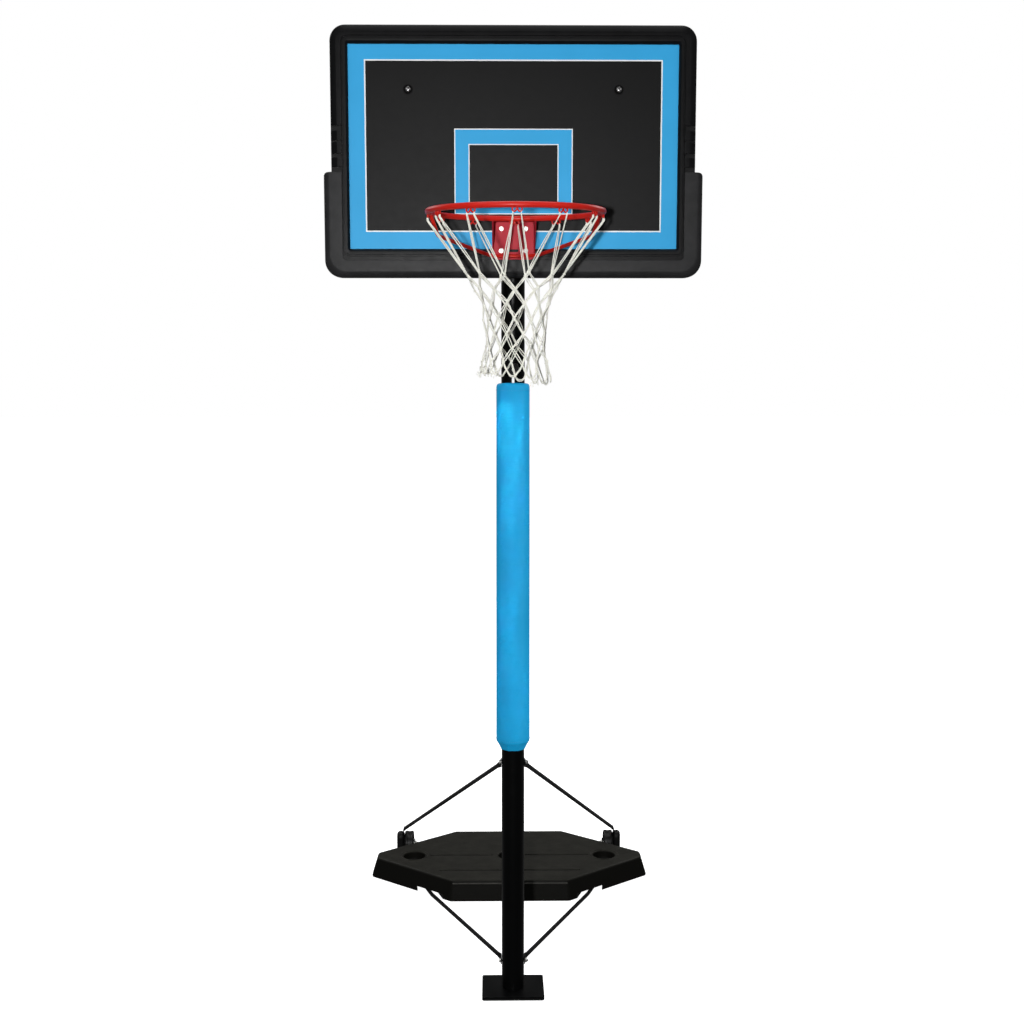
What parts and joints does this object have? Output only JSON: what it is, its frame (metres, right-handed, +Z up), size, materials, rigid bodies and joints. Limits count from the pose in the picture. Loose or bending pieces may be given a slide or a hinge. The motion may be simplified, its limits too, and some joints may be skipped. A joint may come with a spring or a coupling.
{
  "type": "basketball hoop",
  "caption": "Free-standing portable basketball hoop: framed backboard, rim with net, padded telescoping pole, wheeled water-filled base, braced by struts.",
  "frame": {"origin": "the pole's axis on the ground, at the underside of the foot pad", "axes": "+X to the right as a player faces the board, +Y behind the hoop towards the base, +Z up"},
  "size_m": [1.118, 2.0064, 3.012],
  "materials": {
    "black_steel": "gloss black powder coat on steel tube",
    "zinc": "bright zinc-plated steel",
    "black_plastic": "black moulded plastic, fine grain",
    "base_plastic": "blow-moulded polyethylene, satin black",
    "panel_black": "satin black plastic with printed blue and white court lines on its front",
    "red_paint": "glossy red powder coat",
    "bracket_red": "satin red powder coat",
    "pad_blue": "blue vinyl cover on foam",
    "net_white": "white knotted nylon cord",
    "rubber": "black rubber",
    "water": "clear water ballast inside the tank"
  },
  "bodies": {
    "stand": {"ballast_water": "water", "base_tank": "base_plastic", "foot_pad": "rubber", "foot_plate": "black_steel", "left_axle_bolt": "zinc", "left_axle_nut": "zinc", "left_base_bolt": "zinc", "left_base_nut": "zinc", "left_lower_strut": "black_steel", "left_upper_strut": "black_steel", "left_wheel_bracket": "black_steel", "lock_boss": "black_steel", "lower_pole": "black_steel", "lower_strut_bolt": "zinc", "lower_strut_nut": "zinc", "mast_bush": "black_plastic", "middle_pole": "black_steel", "pole_pad": "pad_blue", "right_axle_bolt": "zinc", "right_axle_nut": "zinc", "right_base_bolt": "zinc", "right_base_nut": "zinc", "right_lower_strut": "black_steel", "right_upper_strut": "black_steel", "right_wheel_bracket": "black_steel", "upper_strut_bolt": "zinc", "upper_strut_nut": "zinc"},
    "mast": {"upper_pole": "black_steel", "mast_foot_bush": "black_plastic", "mast_cap": "black_plastic", "board_bracket": "black_steel", "lower_bracket_bolt": "zinc", "lower_bracket_nut": "zinc", "upper_bracket_bolt": "zinc", "upper_bracket_nut": "zinc", "left_board_brace": "black_steel", "right_board_brace": "black_steel", "left_board_bolt": "zinc", "right_board_bolt": "zinc", "left_board_nut": "zinc", "right_board_nut": "zinc", "backboard_panel": "panel_black", "backboard_frame": "black_plastic", "backboard_bumper": "black_plastic", "rim_ring": "red_paint", "rim_brace": "red_paint", "rim_bracket": "bracket_red", "rim_bolt_1": "zinc", "rim_bolt_2": "zinc", "rim_bolt_3": "zinc", "rim_bolt_4": "zinc", "net": "net_white"},
    "lock_stud": {"lock_stud": "zinc"},
    "lock_knob": {"lock_knob": "black_plastic"},
    "left_wheel": {"left_wheel": "black_plastic"},
    "right_wheel": {"right_wheel": "black_plastic"},
    "cap_seal": {"cap_seal": "rubber"},
    "filler_cap": {"filler_cap": "black_plastic"}
  },
  "joints": [
    {"name": "mast_height", "type": "slide", "parent": "stand", "child": "mast", "axis": [0, 0, 1], "range_m": [-0.15, 0.61]},
    {"name": "stud_travel", "type": "slide", "parent": "stand", "child": "lock_stud", "axis": [0, -1, 0], "range_m": [0, 0.0031]},
    {"name": "knob_turn", "type": "hinge", "parent": "lock_stud", "child": "lock_knob", "pos_m": [0, -0.0546, 2.01], "axis": [0, -1, 0], "range_deg": [0, 720]},
    {"name": "left_wheel_spin", "type": "hinge", "parent": "stand", "child": "left_wheel", "pos_m": [-0.405, 1.2, 0.052], "axis": [1, 0, 0], "continuous": true},
    {"name": "right_wheel_spin", "type": "hinge", "parent": "stand", "child": "right_wheel", "pos_m": [0.405, 1.2, 0.052], "axis": [1, 0, 0], "continuous": true},
    {"name": "cap_lift", "type": "slide", "parent": "stand", "child": "cap_seal", "axis": [0, 0, 1], "range_m": [0, 0.009]},
    {"name": "cap_turn", "type": "hinge", "parent": "cap_seal", "child": "filler_cap", "pos_m": [0, 0.985, 0.05], "axis": [0, 0, 1], "range_deg": [0, 1080]}
  ],
  "couplings": [
    {"joint": "stud_travel", "follows": "knob_turn", "m_per_rad": 0.00023873},
    {"joint": "cap_lift", "follows": "cap_turn", "m_per_rad": 0.00047746}
  ]
}
